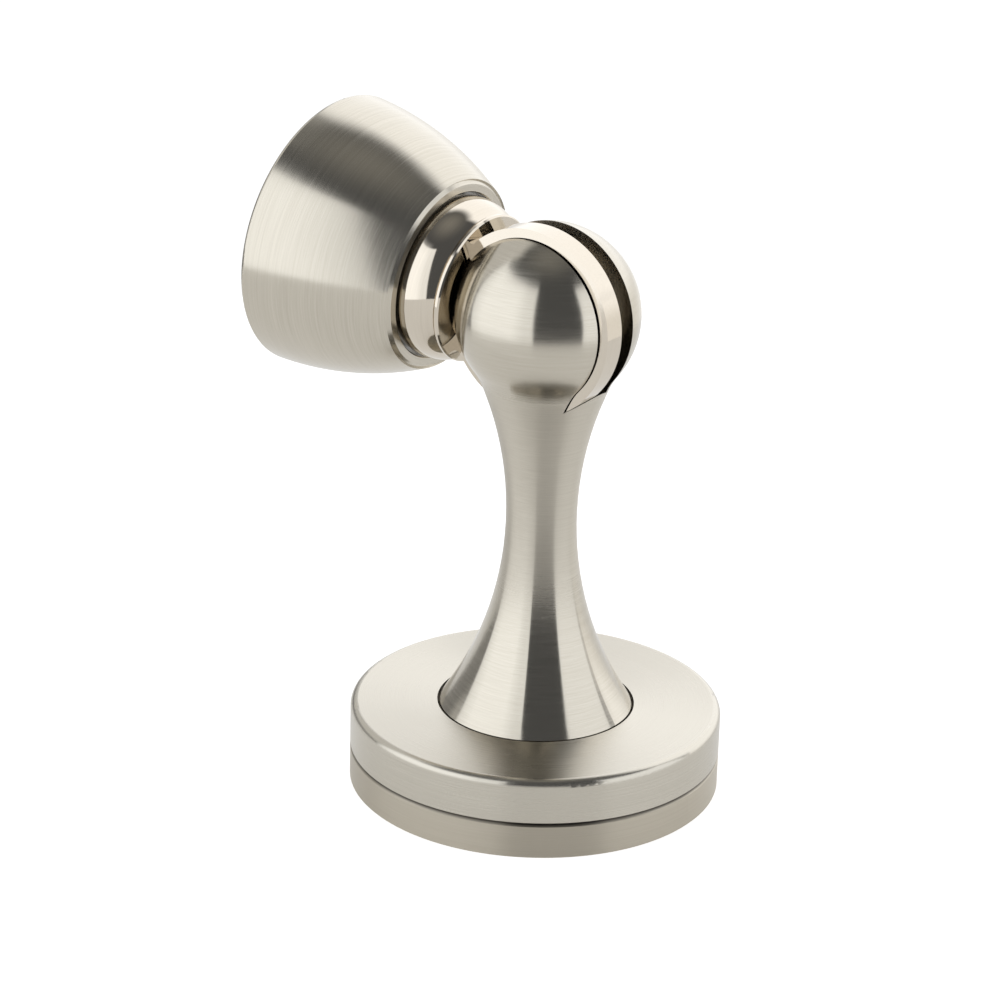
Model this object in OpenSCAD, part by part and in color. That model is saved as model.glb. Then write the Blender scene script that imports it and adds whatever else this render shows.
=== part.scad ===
// Floor door holder: a magnetic head on a ball-jointed post over a two-disc base.
// Frame: Z is up, the origin is on the floor at the base's centre, the head points to -X
// and the joint pin runs along Y with its screw head on the +Y side.

/* [Base] */
// Diameter of the mounting plate and of the cover that screws onto it
base_d = 50; // [48:0.5:60]
// Thickness of the mounting plate
plate_h = 4.8; // [4.6:0.1:5.4]
// Height of the plate and the cover together
base_h = 11.1; // [11:0.1:12.5]
// Radius of the rounded edge round the cover's top
cover_edge_r = 1; // [0.5:0.1:1.5]
// Pitch circle diameter of the floor screws
screw_pcd = 30; // [29:0.5:30]
// Number of floor screws
screw_count = 3; // [2:1:4]
// Diameter of the floor screws' clearance holes
screw_hole_d = 4.6; // [3.6:0.1:5]
// Diameter of the floor screws' countersinks at the plate's top
screw_sink_d = 8.4; // [7:0.1:8.4]

/* [Post] */
// Diameter of the post where it leaves the cover
foot_d = 26; // [24:0.2:27]
// Diameter of the post at its waist
waist_d = 9.4; // [8:0.2:12]
// Height of the waist above the floor
waist_z = 38; // [36:0.5:40]
// Height of the ball's centre above the floor
ball_z = 66; // [65:0.5:67]
// Diameter of the ball
ball_d = 24.3; // [24:0.1:24.8]
// Radius of the fillet between the post and the ball
ball_fillet_r = 8; // [4:1:12]
// Width of the slot through the ball
slot_w = 6.7; // [6.4:0.1:7]
// Distance of the slot's middle in front of the ball's centre
slot_shift = 1.5; // [0:0.1:1.8]

/* [Joint] */
// Angle of the head above the horizontal at rest
rest_tilt = 7; // [0:1:60]
// Diameter of the neck's tongue
tongue_d = 24.9; // [24.5:0.1:25]
// Thickness of the neck's tongue
tongue_w = 3.2; // [3:0.1:3.3]
// Diameter of the pivot screw's shoulder
shoulder_d = 7; // [6:0.5:7]

/* [Head] */
// Diameter of the cup at its narrow end
cup_narrow_d = 26; // [25.8:0.1:27]
// Largest diameter of the cup
cup_wide_d = 37.4; // [37:0.1:39]
// Distance from the ball's centre to the cup's narrow end
cup_start = 16; // [15.8:0.1:16.2]
// Distance from the ball's centre to the cup's mouth
cup_mouth = 36.5; // [36.4:0.1:37]
// Diameter of the hole in the cup's narrow end
cup_hole_d = 22.8; // [22.8:0.1:23.4]
// Largest diameter of the neck's barrel
barrel_d = 22.2; // [21.4:0.1:22.2]
// Distance that the cup can be pushed back along the neck
buffer_travel = 2.5; // [1:0.5:2.5]
// Height of the rubber bumper above the cup's mouth
bumper_proud = 0.8; // [0.4:0.1:1.2]

/* [Hidden] */

$fn = 96;
eps = 0.01;
touch = 0.02; // gap left between faces that bear on each other
tongue_fit = 0.06; // gap between the tongue's edge and the floor of its slot
run_fit = 0.04; // radial clearance of the turning and sliding fits
thread_fit = 0.02; // radial clearance that stands for a mating thread

base_r = base_d / 2;
foot_r = foot_d / 2;
waist_r = waist_d / 2;
ball_r = ball_d / 2;
joint_edge = 0.3; // chamfers that make the groove between plate and cover
floor_edge = 0.2;

// Threaded ring on the plate that the cover screws onto
ring_r = 21;
ring_in_r = 19.3;
ring_z = plate_h + 3.8;
ring_edge = 0.4;
// Cover's cavity, and the deeper pocket over the post's flange
cavity_z = ring_z + 0.3;
pocket_r = 17;
pocket_z = base_h - 1.7;
foot_gap = 0.3; // gap round the post in the cover's hole
set_screw_r = 1.5;
set_screw_z = (plate_h + cavity_z) / 2;
set_screw_sink = 0.4; // depth of the set screw below the cover's side
hex_ratio = 0.6; // across-corners size of a hex socket to the screw's diameter

// Post below the cover
pin_r = 4;
pin_floor = 1.3;
flange_r = 16;
flange_h = 2;
washer_h = 0.5;
flange_top = pocket_z - washer_h;
flange_z = flange_top - flange_h;
washer_in_r = foot_r + 0.6;
foot_spring_r = 12;
foot_spring_t = 0.8;

// The post's side is one arc, which touches the waist and meets the foot
flare_r = (pow(waist_z - base_h, 2) + pow(foot_r - waist_r, 2)) / (2 * (foot_r - waist_r));
flare_c = [waist_r + flare_r, waist_z];
ball_c = [0, ball_z];
// The fillet's circle touches the ball from outside and the arc's circle from inside
fillet_c = circles_meet(ball_c, ball_r + ball_fillet_r, flare_c, flare_r - ball_fillet_r);
ball_touch = ball_c + (fillet_c - ball_c) * ball_r / (ball_r + ball_fillet_r);
flare_touch = flare_c + (fillet_c - flare_c) * flare_r / (flare_r - ball_fillet_r);

// Slot: its front face is the inner face of the front cheek
slot_front = -slot_shift - slot_w / 2;
slot_back = -slot_shift + slot_w / 2;
slot_r = tongue_d / 2 + tongue_fit;
friction_h = 0.24;
tongue_front = slot_front + friction_h + 2 * touch;
tongue_back = tongue_front + tongue_w;
flat_washer_h = 0.8;
springs_front = tongue_back + flat_washer_h + 2 * touch;
disc_spring_t = 0.5;
slot_washer_r = 8;
shoulder_r = shoulder_d / 2;
bush_r = shoulder_r + 1.1;

// Pivot screw, from its head in the rear cheek to its thread in the front one
screw_seat = 7.5;
screw_head_r = 4.9;
screw_head_h = 2.4;
screw_bore_top = ball_r + 1;
thread_r = 2.5;
thread_end = slot_front - 4.2;
thread_hole_end = slot_front - 5;

// Neck, measured along the head's axis from the ball's centre
dish_r = ball_r + 0.45;
rim_start = 10.3;
rim_end = 10.85;
rim_r = 10.1;
rim_edge = 0.2;
groove_r = 9.5;
barrel_start = 11.2;
barrel_mid = 15.05;
barrel_arc_r = 6.5;
barrel_r = barrel_d / 2;
back_wall = 1.6;
chamber_start = cup_start + back_wall;
neck_end = chamber_start + 0.05;
web_w = 15.2;

// Guide flange inside the cup and the screw that holds it
chamber_r = 12.3;
flange_disc_r = chamber_r - run_fit;
flange_disc_h = 2.5;
flange_end = neck_end + flange_disc_h;
flange_screw_end = 14;
flange_sink_r = 5;
flange_sink_h = 2.3;

// Buffer spring between the guide flange and the pole pot
spring_wire_r = 0.6;
spring_r = 9.4;
spring_turns = 4;
spring_slack = 0.55; // room left when the spring is pushed solid
spring_sides = 8;
spring_steps = 18; // rings in each turn

// Magnet assembly in the cup's mouth
pot_start = flange_end + 2 * spring_wire_r * spring_turns + buffer_travel + spring_slack;
pot_bore_r = 16;
pot_face = cup_mouth - 0.6;
pot_wall = 1.35;
pot_floor = 1.8;
spacer_wall = 1.4;
magnet_r = pot_bore_r - thread_fit - pot_wall - spacer_wall;
magnet_start = pot_start + pot_floor;
magnet_face = pot_face - 0.2;
magnet_hole_r = 2.6;
magnet_sink_r = 4.6;
magnet_sink_h = 2.2;
magnet_screw_r = 2;
magnet_screw_end = pot_start + 0.3;

// Cup: its side is one arc, widest just past the mouth
cup_wide_at = 38;
cup_drop = (cup_wide_d - cup_narrow_d) / 2;
cup_arc_r = (pow(cup_wide_at - cup_start, 2) + pow(cup_drop, 2)) / (2 * cup_drop);
cup_arc_c = [cup_wide_d / 2 - cup_arc_r, cup_wide_at];
mouth_edge_r = 0.8;
narrow_edge = 0.45;
hole_edge = 0.15;
bumper_r = 17.3;
bumper_start = 33.6;

// Where two circles meet, on the side nearer to the floor
function circles_meet(c1, r1, c2, r2) =
    let (
        d = norm(c2 - c1),
        along = (r1 * r1 - r2 * r2 + d * d) / (2 * d),
        off = sqrt(r1 * r1 - along * along),
        u = (c2 - c1) / d
    )
    c1 + along * u + off * [u[1], -u[0]];

// Turns local +Z to the head's axis, with local +X upward and local Y kept
module on_head() {
    translate([0, 0, ball_z]) rotate([0, rest_tilt - 90, 0]) children();
}

// Turns local +Z to +Y through the ball's centre
module on_pivot() {
    translate([0, 0, ball_z]) rotate([-90, 0, 0]) children();
}

module ring(r_out, r_in, from, to) {
    translate([0, 0, from]) difference() {
        cylinder(r = r_out, h = to - from);
        translate([0, 0, -1]) cylinder(r = r_in, h = to - from + 2);
    }
}

module rod(r, from, to) {
    translate([0, 0, from]) cylinder(r = r, h = to - from);
}

// Hexagonal socket that opens at the height top
module hex_socket(screw_r, top, depth) {
    translate([0, 0, top - depth]) cylinder(r = screw_r * hex_ratio, h = depth + 1, $fn = 6);
}

// Coned spring washer, its outer edge at from and its inner edge at to
module disc_spring(r_in, r_out, thick, from, to) {
    rise = to - from - thick;
    rotate_extrude() polygon([
        [r_out, from], [r_out, from + thick],
        [r_in, from + rise + thick], [r_in, from + rise]
    ]);
}

// Countersunk head with its top at the height top, over a shank down to end
module countersunk_screw(head_r, head_h, shank_r, end, top) {
    difference() {
        union() {
            rod(shank_r, end, top);
            translate([0, 0, top - head_h]) cylinder(r1 = shank_r, r2 = head_r, h = head_h);
        }
        hex_socket(head_r, top, head_h * 0.7);
    }
}

module mounting_plate() {
    color([0.74, 0.72, 0.68]) difference() {
        rotate_extrude() polygon([
            [0, 0], [base_r - floor_edge, 0], [base_r, floor_edge],
            [base_r, plate_h - joint_edge], [base_r - joint_edge, plate_h], [ring_r, plate_h],
            [ring_r, ring_z - ring_edge], [ring_r - ring_edge, ring_z],
            [ring_in_r, ring_z], [ring_in_r, plate_h], [0, plate_h]
        ]);
        rod(pin_r + run_fit, pin_floor - 0.3, plate_h + 1);
        for (i = [0 : screw_count - 1])
            rotate([0, 0, i * 360 / screw_count]) translate([screw_pcd / 2, 0, 0]) floor_screw_hole();
    }
}

module floor_screw_hole() {
    sink_h = (screw_sink_d - screw_hole_d) / 2;
    rod(screw_hole_d / 2, -1, plate_h + 1);
    translate([0, 0, plate_h - sink_h])
        cylinder(r1 = screw_hole_d / 2, r2 = screw_sink_d / 2, h = sink_h + eps);
}

module base_cover() {
    color([0.78, 0.76, 0.72]) difference() {
        rotate_extrude() difference() {
            union() {
                translate([0, plate_h + joint_edge])
                    square([base_r, base_h - plate_h - joint_edge - cover_edge_r]);
                translate([0, plate_h]) polygon([
                    [0, 0], [base_r - joint_edge, 0], [base_r, joint_edge], [0, joint_edge]
                ]);
                translate([0, plate_h + 1]) square([base_r - cover_edge_r, base_h - plate_h - 1]);
                translate([base_r - cover_edge_r, base_h - cover_edge_r]) circle(r = cover_edge_r);
            }
            translate([-1, plate_h - 1]) square([ring_r + thread_fit + 1, cavity_z - plate_h + 1]);
            translate([-1, cavity_z - 1]) square([pocket_r + 1, pocket_z - cavity_z + 1]);
            translate([-1, 0]) square([foot_r + foot_gap + 1, base_h + 1]);
        }
        set_screw_axis() rod(set_screw_r + thread_fit, ring_r - 1, base_r + 1);
    }
}

// Turns local +Z to +Y at the set screw's height
module set_screw_axis() {
    translate([0, 0, set_screw_z]) rotate([-90, 0, 0]) children();
}

module cover_set_screw() {
    top = base_r - set_screw_sink;
    color([0.35, 0.35, 0.36]) set_screw_axis() difference() {
        rod(set_screw_r, ring_r + 2 * thread_fit, top);
        hex_socket(set_screw_r, top, 1.6);
    }
}

module foot_disc_spring() {
    color([0.5, 0.5, 0.52])
        disc_spring(pin_r + 0.4, foot_spring_r, foot_spring_t, plate_h + touch, flange_z - touch);
}

module foot_washer() {
    color([0.9, 0.9, 0.86]) ring(flange_r, washer_in_r, flange_top + touch, pocket_z - touch);
}

// Half of the turned outline: pin, flange and foot, less the air beside the side and the ball
module post_profile() {
    top = ball_z + ball_r;
    difference() {
        polygon([
            [0, pin_floor], [pin_r, pin_floor], [pin_r, flange_z], [flange_r, flange_z],
            [flange_r, flange_top], [foot_r, flange_top], [foot_r, top], [0, top]
        ]);
        difference() {
            translate([0, base_h]) square([foot_r + 1, top]);
            flare_profile();
            fillet_profile();
            translate(ball_c) circle(r = ball_r, $fn = 180);
        }
    }
}

// Outline from the foot to where the fillet begins; its lower edge lies inside the foot
module flare_profile() {
    difference() {
        translate([0, base_h - 1]) square([foot_r + 1, flare_touch[1] - base_h + 1]);
        translate(flare_c) circle(r = flare_r, $fn = 360);
    }
}

// Outline between the flared side and the ball, reaching into both
module fillet_profile() {
    difference() {
        polygon([ball_c, ball_touch, flare_touch, [0, waist_z]]);
        translate(fillet_c) circle(r = ball_fillet_r);
    }
}

module post() {
    color([0.76, 0.74, 0.7]) difference() {
        rotate_extrude($fn = 180) post_profile();
        on_pivot() {
            rod(slot_r, slot_front, slot_back);
            rod(shoulder_r + thread_fit, slot_back - 1, screw_seat + 1);
            rod(screw_head_r + 0.1, screw_seat, screw_bore_top);
            rod(thread_r + thread_fit, thread_hole_end, slot_front + 1);
        }
    }
}

module pivot_screw() {
    head_top = screw_seat + screw_head_h;
    color([0.7, 0.69, 0.66]) on_pivot() difference() {
        union() {
            rod(screw_head_r, screw_seat + touch, head_top);
            rod(shoulder_r, slot_front + touch, screw_seat + 1);
            rod(thread_r, thread_end, slot_front + 1);
        }
        hex_socket(screw_head_r, head_top, screw_head_h * 0.75);
    }
}

module slot_friction_washer() {
    color([0.92, 0.92, 0.88]) on_pivot()
        ring(slot_washer_r, shoulder_r + run_fit, slot_front + touch, slot_front + touch + friction_h);
}

module slot_flat_washer() {
    color([0.6, 0.6, 0.6]) on_pivot()
        ring(slot_washer_r, shoulder_r + run_fit, tongue_back + touch, tongue_back + touch + flat_washer_h);
}

// Two coned washers, their outer edges together
module slot_disc_springs() {
    half = (slot_back - springs_front) / 2;
    middle = springs_front + half;
    color([0.5, 0.5, 0.52]) on_pivot() for (side = [0, 1]) {
        translate([0, 0, middle]) mirror([0, 0, side])
            disc_spring(shoulder_r + 0.1, slot_washer_r - 0.3, disc_spring_t, touch / 2, half - touch);
    }
}

module neck_profile() {
    difference() {
        union() {
            polygon([
                [0, rim_start], [rim_r - rim_edge, rim_start], [rim_r, rim_start + rim_edge],
                [rim_r, rim_end], [groove_r, rim_end], [groove_r, barrel_start], [0, barrel_start]
            ]);
            intersection() {
                translate([0, barrel_start]) square([barrel_r, neck_end - barrel_start]);
                translate([barrel_r - barrel_arc_r, barrel_mid]) circle(r = barrel_arc_r, $fn = 180);
            }
        }
        circle(r = dish_r, $fn = 180);
    }
}

module neck() {
    color([0.8, 0.77, 0.72]) difference() {
        union() {
            on_head() difference() {
                rotate_extrude($fn = 180) neck_profile();
                rod(thread_r + thread_fit, flange_screw_end - 0.4, neck_end + 1);
            }
            on_pivot() rod(tongue_d / 2, tongue_front, tongue_back);
            on_head() translate([-web_w / 2, tongue_front, 0]) cube([web_w, tongue_w, dish_r + 0.5]);
        }
        on_pivot() rod(bush_r + touch, tongue_front - 1, tongue_back + 1);
    }
}

module tongue_bush() {
    color([0.72, 0.55, 0.3]) on_pivot()
        ring(bush_r, shoulder_r + run_fit, tongue_front + touch, tongue_back - touch);
}

module guide_flange() {
    color([0.68, 0.68, 0.68]) on_head() difference() {
        rod(flange_disc_r, neck_end + touch, flange_end);
        rod(thread_r + 0.1, neck_end - 1, flange_end + 1);
        translate([0, 0, flange_end - flange_sink_h])
            cylinder(r1 = thread_r + 0.1, r2 = flange_sink_r + 0.1, h = flange_sink_h + eps);
    }
}

module flange_screw() {
    color([0.4, 0.4, 0.42]) on_head()
        countersunk_screw(flange_sink_r, flange_sink_h, thread_r, flange_screw_end, flange_end);
}

module buffer_spring() {
    low = flange_end + spring_wire_r + touch;
    high = pot_start - spring_wire_r - touch;
    rings = spring_turns * spring_steps;
    slope = atan((high - low) / (spring_turns * 2 * PI * spring_r));
    points = [
        for (i = [0 : rings], k = [0 : spring_sides - 1])
            let (
                turn = 360 * i / spring_steps,
                side = 360 * k / spring_sides,
                r = spring_r + spring_wire_r * cos(side),
                up = spring_wire_r * sin(side)
            )
            [
                r * cos(turn) + up * sin(slope) * sin(turn),
                r * sin(turn) - up * sin(slope) * cos(turn),
                low + (high - low) * i / rings + up * cos(slope)
            ]
    ];
    sides = [
        for (i = [0 : rings - 1], k = [0 : spring_sides - 1])
            let (a = i * spring_sides, n = (k + 1) % spring_sides)
            [a + k, a + spring_sides + k, a + spring_sides + n, a + n]
    ];
    start_cap = [[for (k = [0 : spring_sides - 1]) k]];
    end_cap = [[for (k = [spring_sides - 1 : -1 : 0]) rings * spring_sides + k]];
    color([0.55, 0.55, 0.57]) on_head() polyhedron(points, concat(sides, start_cap, end_cap));
}

module cup_profile() {
    difference() {
        intersection() {
            translate([0, cup_start]) square([cup_wide_d / 2, cup_mouth - cup_start]);
            translate(cup_arc_c) circle(r = cup_arc_r, $fn = 360);
        }
        square([cup_hole_d / 2, chamber_start + 1]);
        translate([0, chamber_start]) square([chamber_r, pot_start]);
        translate([0, pot_start]) square([pot_bore_r, cup_mouth]);
        translate([0, bumper_start]) square([bumper_r, cup_mouth]);
        translate([cup_hole_d / 2, cup_start]) edge_cut(hole_edge);
        translate([cup_narrow_d / 2, cup_start]) edge_cut(narrow_edge);
    }
}

// Square set on its corner, which chamfers an edge by size
module edge_cut(size) {
    rotate(45) square(size * sqrt(2), center = true);
}

module head_cup() {
    color([0.76, 0.74, 0.7]) on_head() difference() {
        rotate_extrude($fn = 180) cup_profile();
        mouth_round();
    }
}

// Material outside the mouth's rounded edge
module mouth_round() {
    r = cup_wide_d / 2 - mouth_edge_r;
    rotate_extrude($fn = 180) difference() {
        translate([r, cup_mouth - mouth_edge_r]) square(mouth_edge_r + 1);
        translate([r, cup_mouth - mouth_edge_r]) circle(r = mouth_edge_r - 0.05);
    }
}

module pole_pot() {
    color([0.62, 0.62, 0.63]) on_head() difference() {
        rod(pot_bore_r - thread_fit, pot_start, pot_face);
        rod(magnet_r + spacer_wall, magnet_start, pot_face + 1);
        rod(magnet_screw_r + thread_fit, pot_start - 1, magnet_start + 1);
    }
}

module magnet() {
    color([0.55, 0.55, 0.56]) on_head() difference() {
        rod(magnet_r, magnet_start + touch, magnet_face);
        rod(magnet_hole_r, magnet_start - 1, magnet_face + 1);
        translate([0, 0, magnet_face - magnet_sink_h])
            cylinder(r1 = magnet_hole_r, r2 = magnet_sink_r, h = magnet_sink_h + eps);
    }
}

module magnet_spacer() {
    color([0.15, 0.15, 0.16]) on_head()
        ring(magnet_r + spacer_wall - touch, magnet_r + touch, magnet_start + touch, magnet_face);
}

module magnet_screw() {
    head_r = magnet_sink_r - 0.15;
    top = magnet_face - 0.1;
    color([0.66, 0.66, 0.66]) on_head()
        countersunk_screw(head_r, magnet_sink_h, magnet_screw_r, magnet_screw_end, top);
}

module rubber_bumper() {
    inner = pot_bore_r + touch;
    outer = bumper_r - touch;
    tip_r = (outer - inner) / 2;
    tip = cup_mouth + bumper_proud;
    color([0.08, 0.08, 0.08]) on_head() rotate_extrude($fn = 180) {
        translate([inner, bumper_start + touch]) square([outer - inner, tip - tip_r - bumper_start - touch]);
        translate([inner + tip_r, tip - tip_r]) circle(r = tip_r);
    }
}

mounting_plate();
base_cover();
cover_set_screw();
foot_disc_spring();
foot_washer();
post();
pivot_screw();
slot_friction_washer();
slot_flat_washer();
slot_disc_springs();
neck();
tongue_bush();
guide_flange();
flange_screw();
buffer_spring();
head_cup();
pole_pot();
magnet();
magnet_spacer();
magnet_screw();
rubber_bumper();
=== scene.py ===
"""Looks of the floor door holder: camera, studio, and a finish for every part, brushed metal for
most and moulded for the nylon, resin and rubber parts.
"""
import math

import bpy
from mathutils import Matrix, Vector


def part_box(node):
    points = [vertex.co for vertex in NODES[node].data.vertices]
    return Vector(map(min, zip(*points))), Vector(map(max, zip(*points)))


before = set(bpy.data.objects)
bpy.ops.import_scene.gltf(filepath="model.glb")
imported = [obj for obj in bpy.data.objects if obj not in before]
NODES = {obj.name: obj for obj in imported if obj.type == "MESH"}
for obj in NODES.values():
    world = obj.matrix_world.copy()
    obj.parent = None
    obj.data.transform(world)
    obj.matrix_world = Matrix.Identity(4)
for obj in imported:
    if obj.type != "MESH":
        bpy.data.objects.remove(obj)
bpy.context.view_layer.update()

# Camera, round a point just above the middle of the object
VIEW_AZIMUTH = math.radians(35.3)
VIEW_ELEVATION = math.radians(21.7)
VIEW_ROLL = math.radians(1.55)
VIEW_DISTANCE = 0.4544
VIEW_AIM = Vector((0.0, 0.0, 0.045))
VIEW_AIM_SIDE = -0.00554
VIEW_AIM_UP = -0.00469
VIEW_LENS = 124.3
SENSOR_WIDTH = 36.0

# Axes of the turned parts: a point on each axis and its direction
UP_AXIS = (Vector((0.0, 0.0, 0.0)), Vector((0.0, 0.0, 1.0)))
BALL_CENTRE = Vector((0.0, 0.0, 0.066))
REST_TILT = math.radians(7.0)
HEAD_AXIS = (BALL_CENTRE, Vector((-math.cos(REST_TILT), 0.0, math.sin(REST_TILT))))
PIVOT_AXIS = (BALL_CENTRE, Vector((0.0, 1.0, 0.0)))

MM = 0.001

# Studio panels: middle azimuth, half width, lower and upper elevation, soft edge (degrees),
# and radiance. Azimuth 0 is the side that -Y faces, and 90 is +X.
PANELS = {
    "left_wall": (-100.0, 28.0, 12.0, 62.0, 12.0, (0.78, 0.78, 0.77)),
    "low_left": (-100.0, 30.0, -70.0, 8.0, 8.0, (0.30, 0.30, 0.30)),
    "low_back": (178.0, 42.0, -70.0, 12.0, 8.0, (1.08, 1.07, 1.05)),
    "front_left": (-27.0, 44.5, -70.0, 49.0, 3.0, (1.24, 1.27, 1.31)),
    "front_left_core": (-32.0, 30.0, -70.0, 47.0, 22.0, (1.52, 1.56, 1.62)),
    "front_right": (106.5, 28.5, -70.0, 44.0, 3.0, (1.30, 1.33, 1.38)),
    "back": (-176.0, 44.0, 2.0, 61.0, 16.0, (1.50, 1.52, 1.56)),
}
ROOM_LIGHT = (0.105, 0.108, 0.114)
CEILING_LIGHT = (0.27, 0.265, 0.25)
CEILING_FROM = 55.0
BACKDROP_LIGHT = (1.06, 1.06, 1.06)

FLOOR_RADIUS = 0.21
FLOOR_SIDES = 96
FLOOR_ALBEDO = 0.5
FLOOR_GLOW = 0.84
# The floor's glow in what the metal mirrors, even all over; the camera sees FLOOR_GLOW
FLOOR_GLOW_MIRRORED = 0.5


class Tree:
    """Short calls for building a node tree."""

    def __init__(self, tree):
        self.tree = tree
        tree.nodes.clear()

    def add(self, kind, **settings):
        node = self.tree.nodes.new(kind)
        for name, value in settings.items():
            setattr(node, name, value)
        return node

    def put(self, value, socket):
        """Links an output to the socket, or sets a constant on it."""
        if isinstance(value, bpy.types.NodeSocket):
            self.tree.links.new(value, socket)
        else:
            socket.default_value = value

    def math(self, operation, a, b=0.0, c=0.0, clamp=False):
        node = self.add("ShaderNodeMath", operation=operation, use_clamp=clamp)
        for value, socket in zip((a, b, c), node.inputs):
            self.put(value, socket)
        return node.outputs[0]

    def vector(self, operation, a, b=(0.0, 0.0, 0.0)):
        node = self.add("ShaderNodeVectorMath", operation=operation)
        self.put(a, node.inputs[0])
        self.put(b, node.inputs[1])
        return node.outputs["Value" if operation in ("DOT_PRODUCT", "LENGTH") else "Vector"]

    def scale(self, a, factor):
        node = self.add("ShaderNodeVectorMath", operation="SCALE")
        self.put(a, node.inputs[0])
        self.put(factor, node.inputs["Scale"])
        return node.outputs["Vector"]

    def step(self, value, low, high, to_low=0.0, to_high=1.0):
        """Smooth change from to_low to to_high as value goes from low to high."""
        node = self.add("ShaderNodeMapRange", interpolation_type="SMOOTHSTEP")
        for given, socket in zip((value, low, high, to_low, to_high), node.inputs):
            self.put(given, socket)
        return node.outputs[0]

    def combine(self, x, y, z):
        node = self.add("ShaderNodeCombineXYZ")
        for value, socket in zip((x, y, z), node.inputs):
            self.put(value, socket)
        return node.outputs[0]

    def noise(self, place, scale, detail=2.0, roughness=0.5):
        node = self.add("ShaderNodeTexNoise")
        self.put(place, node.inputs["Vector"])
        self.put(scale, node.inputs["Scale"])
        self.put(detail, node.inputs["Detail"])
        self.put(roughness, node.inputs["Roughness"])
        return node.outputs["Fac"]

    def mix(self, factor, a, b):
        node = self.add("ShaderNodeMix", data_type="RGBA")
        self.put(factor, node.inputs[0])
        self.put(a, node.inputs[6])
        self.put(b, node.inputs[7])
        return node.outputs[2]


def rgba(colour):
    return (*colour, 1.0)


# ---------------------------------------------------------------- camera


def make_camera():
    data = bpy.data.cameras.new("camera")
    data.lens = VIEW_LENS
    data.sensor_width = SENSOR_WIDTH
    data.clip_start = 0.01
    data.clip_end = 50.0
    camera = bpy.data.objects.new("camera", data)
    bpy.context.scene.collection.objects.link(camera)
    flat = math.cos(VIEW_ELEVATION)
    back = Vector((
        math.sin(VIEW_AZIMUTH) * flat,
        -math.cos(VIEW_AZIMUTH) * flat,
        math.sin(VIEW_ELEVATION),
    ))
    right = Vector((math.cos(VIEW_AZIMUTH), math.sin(VIEW_AZIMUTH), 0.0))
    up = back.cross(right)
    place = VIEW_AIM + right * VIEW_AIM_SIDE + up * VIEW_AIM_UP + back * VIEW_DISTANCE
    turn = Matrix.Rotation(VIEW_ROLL, 3, back)
    axes = Matrix((turn @ right, turn @ up, back)).transposed()
    camera.matrix_world = Matrix.Translation(place) @ axes.to_4x4()
    bpy.context.scene.camera = camera


# ---------------------------------------------------------------- studio


def new_material(name):
    """(material, empty node tree, principled shader already linked to the output)."""
    material = bpy.data.materials.new(name)
    material.use_nodes = True
    t = Tree(material.node_tree)
    shader = t.add("ShaderNodeBsdfPrincipled")
    output = t.add("ShaderNodeOutputMaterial")
    t.put(shader.outputs[0], output.inputs["Surface"])
    return material, t, shader


def add_bump(t, shader, height, depth):
    bump = t.add("ShaderNodeBump")
    bump.inputs["Strength"].default_value = 1.0
    bump.inputs["Distance"].default_value = depth
    t.put(height, bump.inputs["Height"])
    t.put(bump.outputs[0], shader.inputs["Normal"])


def azimuth_of(t, direction):
    """(azimuth in degrees, height) of a direction or place; azimuth 0 faces -Y and 90 is +X."""
    split = t.add("ShaderNodeSeparateXYZ")
    t.put(direction, split.inputs[0])
    x, y, z = split.outputs
    forward = t.math("MULTIPLY", y, -1.0)
    return t.math("MULTIPLY", t.math("ARCTAN2", x, forward), math.degrees(1.0)), z


def sector_mask(t, azimuth, middle, half, soft):
    """1 inside a sector of azimuth and 0 outside, with soft edges."""
    wrapped = t.math("WRAP", t.math("SUBTRACT", azimuth, middle), 180.0, -180.0)
    return t.step(t.math("ABSOLUTE", wrapped), half - soft / 2, half + soft / 2, 1.0, 0.0)


def panel_mask(t, azimuth, elevation, middle, half, low, high, soft):
    """1 inside a panel of the studio and 0 outside, with soft edges."""
    across = sector_mask(t, azimuth, middle, half, soft)
    above = t.step(elevation, low - soft / 2, low + soft / 2)
    below = t.step(elevation, high - soft / 2, high + soft / 2, 1.0, 0.0)
    return t.math("MULTIPLY", t.math("MULTIPLY", across, above), below)


def make_world():
    world = bpy.data.worlds.new("studio")
    world.use_nodes = True
    bpy.context.scene.world = world
    t = Tree(world.node_tree)
    direction = t.add("ShaderNodeTexCoord").outputs["Generated"]
    azimuth, height = azimuth_of(t, direction)
    elevation = t.math("MULTIPLY", t.math("ARCSINE", height), math.degrees(1.0))
    colour = t.mix(t.step(elevation, CEILING_FROM, 90.0), rgba(ROOM_LIGHT), rgba(CEILING_LIGHT))
    for middle, half, low, high, soft, light in PANELS.values():
        mask = panel_mask(t, azimuth, elevation, middle, half, low, high, soft)
        colour = t.mix(mask, colour, rgba(light))
    seen = t.add("ShaderNodeLightPath").outputs["Is Camera Ray"]
    colour = t.mix(seen, colour, rgba(BACKDROP_LIGHT))
    background = t.add("ShaderNodeBackground")
    t.put(colour, background.inputs["Color"])
    output = t.add("ShaderNodeOutputWorld")
    t.put(background.outputs[0], output.inputs["Surface"])


def disc_mesh(name, radius, sides):
    turns = [2 * math.pi * i / sides for i in range(sides)]
    points = [(radius * math.cos(turn), radius * math.sin(turn), 0.0) for turn in turns]
    mesh = bpy.data.meshes.new(name)
    mesh.from_pydata(points, [], [tuple(range(sides))])
    return mesh


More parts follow.
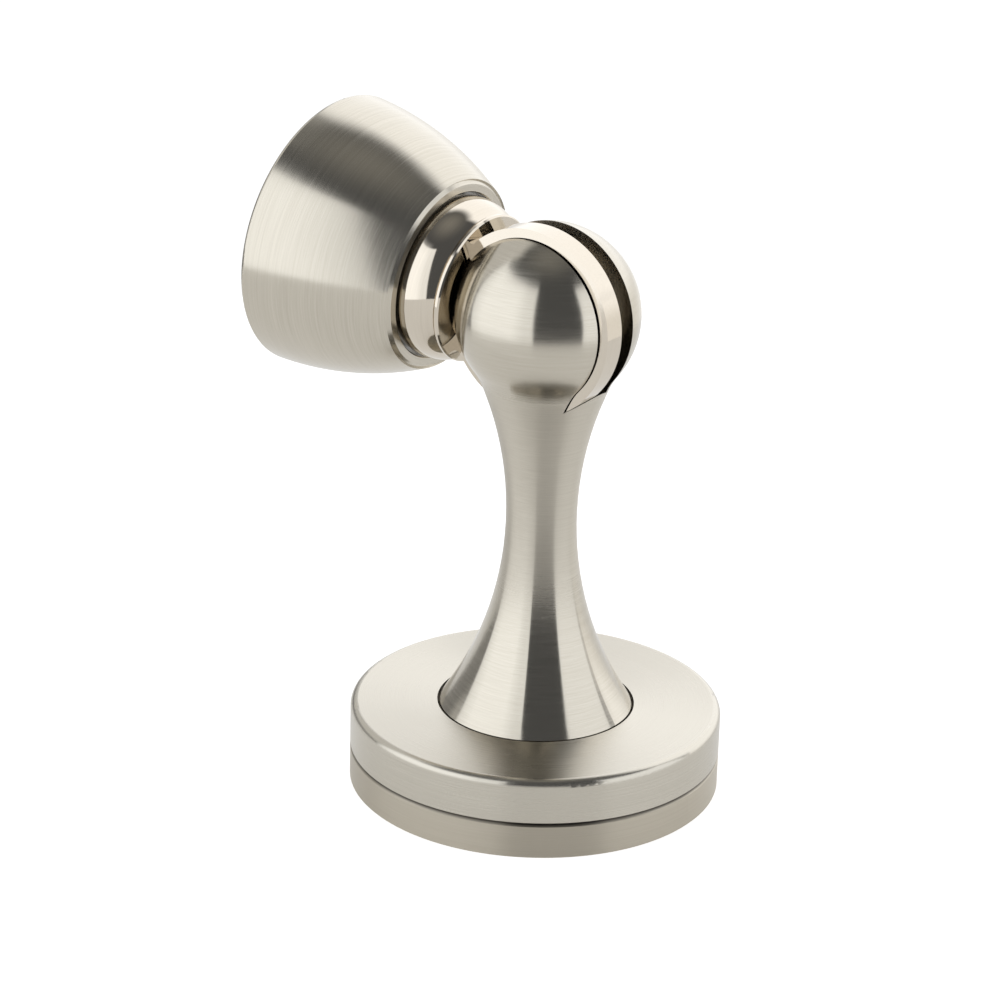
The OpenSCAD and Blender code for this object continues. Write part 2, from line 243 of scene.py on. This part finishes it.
def floor_material():
    material, t, shader = new_material("floor")
    shader.inputs["Base Color"].default_value = rgba((FLOOR_ALBEDO,) * 3)
    shader.inputs["Roughness"].default_value = 0.9
    shader.inputs["Specular IOR Level"].default_value = 0.0
    shader.inputs["Emission Color"].default_value = rgba((1.0, 0.995, 0.985))
    seen = t.add("ShaderNodeLightPath").outputs["Is Camera Ray"]
    glow = t.step(seen, 0.0, 1.0, FLOOR_GLOW_MIRRORED, FLOOR_GLOW)
    t.put(glow, shader.inputs["Emission Strength"])
    return material


def make_floor():
    mesh = disc_mesh("floor", FLOOR_RADIUS, FLOOR_SIDES)
    mesh.materials.append(floor_material())
    floor = bpy.data.objects.new("floor", mesh)
    bpy.context.scene.collection.objects.link(floor)


# ---------------------------------------------------------------- finishes


def turned_place(t, axis):
    """(position across the axis as a unit vector, distance from the axis, distance along it)."""
    origin, direction = axis
    place = t.add("ShaderNodeTexCoord").outputs["Object"]
    offset = t.vector("SUBTRACT", place, tuple(origin))
    along = t.vector("DOT_PRODUCT", offset, tuple(direction))
    shift = t.scale(tuple(direction), along)
    out = t.vector("SUBTRACT", offset, shift)
    radius = t.vector("LENGTH", out)
    unit = t.vector("NORMALIZE", out)
    return offset, unit, radius, along


def round_tangent(t, axis, unit):
    """Direction round the axis, in world space, for brushing that runs round the part."""
    tangent = t.vector("CROSS_PRODUCT", tuple(axis[1]), unit)
    turn = t.add("ShaderNodeVectorTransform", vector_type="VECTOR",
                 convert_from="OBJECT", convert_to="WORLD")
    t.put(tangent, turn.inputs[0])
    return turn.outputs[0]


def band(t, radius, along, which, at, width, strength=1.0):
    """strength at a radius or height of the part, and 0 from width away."""
    value = radius if which == "radius" else along
    apart = t.math("ABSOLUTE", t.math("SUBTRACT", value, at))
    return t.step(apart, 0.0, width, strength, 0.0)


def ring_lines(t, unit, radius, along, per_mm, round_scale):
    """Fine lines that run round the axis and fade in and out along their length."""
    stretch = t.scale(unit, round_scale)
    steps = t.combine(
        t.math("MULTIPLY", radius, per_mm / MM),
        t.math("MULTIPLY", along, per_mm / MM),
        0.0,
    )
    return t.noise(t.vector("ADD", stretch, steps), 1.0, detail=3.0, roughness=0.65)


def brushed_metal(name, axis, base, dark, rough, line_depth, per_mm=14.0, anisotropy=0.6,
                  cloud=0.04, edges=(), zones=(), shaded_seams=()):
    """Metal brushed round its axis.

    edges (worn smooth) and seams (painted shade: a near-black line where two parts meet) hold
    (value, at, width), and zones holds (value, from, to, added roughness), with value "radius" or
    "along".
    """
    material, t, shader = new_material(name)
    offset, unit, radius, along = turned_place(t, axis)
    fine = ring_lines(t, unit, radius, along, per_mm, 1.6)
    broad = ring_lines(t, unit, radius, along, per_mm / 6.0, 0.9)
    patches = t.noise(t.scale(offset, 1.0 / MM), 0.11, detail=2.0)
    lines = t.math("ADD", t.math("MULTIPLY", fine, 0.8), t.math("MULTIPLY", broad, 0.2))

    wear = 0.0
    for which, at, width in edges:
        near = band(t, radius, along, which, at, width)
        wear = near if wear == 0.0 else t.math("MAXIMUM", wear, near)

    tone = t.step(lines, 0.3, 0.7)
    colour = t.mix(tone, rgba(dark), rgba(base))
    # Painted shade: darkens the colour along each seam, standing in for the shade in the joint
    # between two parts
    for which, at, width in shaded_seams:
        seam_shade = band(t, radius, along, which, at, width, strength=SEAM_SHADE_STRENGTH)
        colour = t.mix(seam_shade, colour, rgba(SEAM_SHADE))
    shader.inputs["Metallic"].default_value = 1.0
    shader.inputs["Anisotropic"].default_value = anisotropy
    shader.inputs["Anisotropic Rotation"].default_value = 0.25
    t.put(colour, shader.inputs["Base Color"])
    roughness = t.math("MULTIPLY_ADD", t.math("SUBTRACT", lines, 0.5), rough * 0.9, rough)
    roughness = t.math("MULTIPLY_ADD", t.math("SUBTRACT", patches, 0.5), cloud, roughness)
    for which, start, end, added in zones:
        value = radius if which == "radius" else along
        roughness = t.math("ADD", roughness, t.step(value, start, end, 0.0, added))
    if wear != 0.0:
        roughness = t.math("MULTIPLY_ADD", wear, -0.3 * rough, roughness)
    roughness = t.math("MAXIMUM", roughness, 0.03)
    t.put(roughness, shader.inputs["Roughness"])
    t.put(round_tangent(t, axis, unit), shader.inputs["Tangent"])
    add_bump(t, shader, lines, line_depth)
    return material


def moulded(name, colour, spread, rough, grain_mm, grain_depth, sheen=0.0):
    """Plastic, rubber or resin with a fine moulded grain."""
    material, t, shader = new_material(name)
    place = t.add("ShaderNodeTexCoord").outputs["Object"]
    place = t.scale(place, 1.0 / MM)
    grain = t.noise(place, 1.0 / grain_mm, detail=3.0, roughness=0.6)
    patches = t.noise(place, 0.25, detail=2.0)
    light = tuple(min(1.0, c * (1.0 + spread)) for c in colour)
    deep = tuple(c * (1.0 - spread) for c in colour)
    t.put(t.mix(t.step(patches, 0.25, 0.75), rgba(deep), rgba(light)), shader.inputs["Base Color"])
    t.put(t.math("MULTIPLY_ADD", t.math("SUBTRACT", grain, 0.5), 0.3, rough),
          shader.inputs["Roughness"])
    shader.inputs["Sheen Weight"].default_value = sheen
    add_bump(t, shader, grain, grain_depth)
    return material


NICKEL = (0.60, 0.56, 0.48)
NICKEL_DARK = (0.52, 0.48, 0.405)
NICKEL_COVER = (0.605, 0.57, 0.495)
NICKEL_COVER_DARK = (0.545, 0.51, 0.44)
NICKEL_PLATE = (0.55, 0.505, 0.42)
NICKEL_PLATE_DARK = (0.49, 0.445, 0.365)
# Painted shade in the joint where the cover meets the plate: its near-black colour and how much of
# it covers the metal
SEAM_SHADE = (0.07, 0.063, 0.055)
SEAM_SHADE_STRENGTH = 0.9
STEEL = (0.56, 0.56, 0.55)
STEEL_DARK = (0.45, 0.45, 0.45)


def make_finishes():
    cover_low, cover_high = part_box("base_cover")
    # Band of painted shade along the foot of the cover, where it sits on the plate
    shaded_seam = ("along", cover_low.z, 0.35 * MM)
    satin = dict(base=NICKEL, dark=NICKEL_DARK)
    finishes = {
        "base_cover": brushed_metal(
            "satin_nickel_cover", UP_AXIS, base=NICKEL_COVER, dark=NICKEL_COVER_DARK, rough=0.30,
            line_depth=0.0000008, anisotropy=0.88,
            edges=(("radius", cover_high.x - 0.4 * MM, 0.9 * MM),), shaded_seams=(shaded_seam,)),
        "mounting_plate": brushed_metal(
            "satin_nickel_plate", UP_AXIS, base=NICKEL_PLATE, dark=NICKEL_PLATE_DARK, rough=0.36,
            line_depth=0.0000018, anisotropy=0.9, shaded_seams=(shaded_seam,)),
        "post": brushed_metal(
            "satin_nickel_post", UP_AXIS, rough=0.36, line_depth=0.0000012, anisotropy=0.85,
            zones=(("along", 54.0 * MM, 60.0 * MM, -0.18), ("along", 36.0 * MM, 20.0 * MM, -0.21)),
            **satin),
        "head_cup": brushed_metal(
            "satin_nickel_head", HEAD_AXIS, rough=0.21, line_depth=0.0000016, **satin),
        "neck": brushed_metal(
            "polished_nickel", HEAD_AXIS, base=(0.66, 0.60, 0.51), dark=(0.62, 0.56, 0.47),
            rough=0.07, line_depth=0.0000004, anisotropy=0.3, cloud=0.02),
    }
    steel = brushed_metal("steel_head", HEAD_AXIS, base=(0.46, 0.46, 0.455),
                          dark=(0.38, 0.38, 0.38), rough=0.30, line_depth=0.000002)
    steel_pivot = brushed_metal("steel_pivot", PIVOT_AXIS, base=STEEL, dark=STEEL_DARK,
                                rough=0.26, line_depth=0.000002)
    dark_steel = brushed_metal("black_steel", HEAD_AXIS, base=(0.10, 0.10, 0.105),
                               dark=(0.06, 0.06, 0.065), rough=0.4, line_depth=0.000003)
    spring = brushed_metal("spring_steel", PIVOT_AXIS, base=(0.42, 0.41, 0.40),
                           dark=(0.34, 0.33, 0.32), rough=0.3, line_depth=0.000002)
    bronze = brushed_metal("bronze", PIVOT_AXIS, base=(0.62, 0.42, 0.20),
                           dark=(0.50, 0.32, 0.14), rough=0.32, line_depth=0.000003)
    magnet = brushed_metal("magnet_plating", HEAD_AXIS, base=(0.44, 0.44, 0.435),
                           dark=(0.37, 0.37, 0.365), rough=0.32, line_depth=0.000001,
                           anisotropy=0.3)
    nylon = moulded("nylon", (0.72, 0.70, 0.63), 0.05, 0.45, 0.08, 0.000002)
    resin = moulded("resin", (0.03, 0.03, 0.032), 0.25, 0.42, 0.10, 0.000004)
    rubber = moulded("rubber", (0.022, 0.022, 0.023), 0.3, 0.62, 0.07, 0.000006, sheen=0.1)
    for name in ("guide_flange", "pole_pot", "magnet_screw"):
        finishes[name] = steel
    for name in ("pivot_screw", "slot_flat_washer"):
        finishes[name] = steel_pivot
    for name in ("cover_set_screw", "flange_screw"):
        finishes[name] = dark_steel
    for name in ("foot_disc_spring", "slot_disc_springs", "buffer_spring"):
        finishes[name] = spring
    for name in ("foot_washer", "slot_friction_washer"):
        finishes[name] = nylon
    finishes["tongue_bush"] = bronze
    finishes["magnet"] = magnet
    finishes["magnet_spacer"] = resin
    finishes["rubber_bumper"] = rubber
    for name, obj in NODES.items():
        obj.data.materials.clear()
        obj.data.materials.append(finishes[name])


bpy.context.scene.view_settings.view_transform = "Standard"
make_camera()
make_world()
make_floor()
make_finishes()
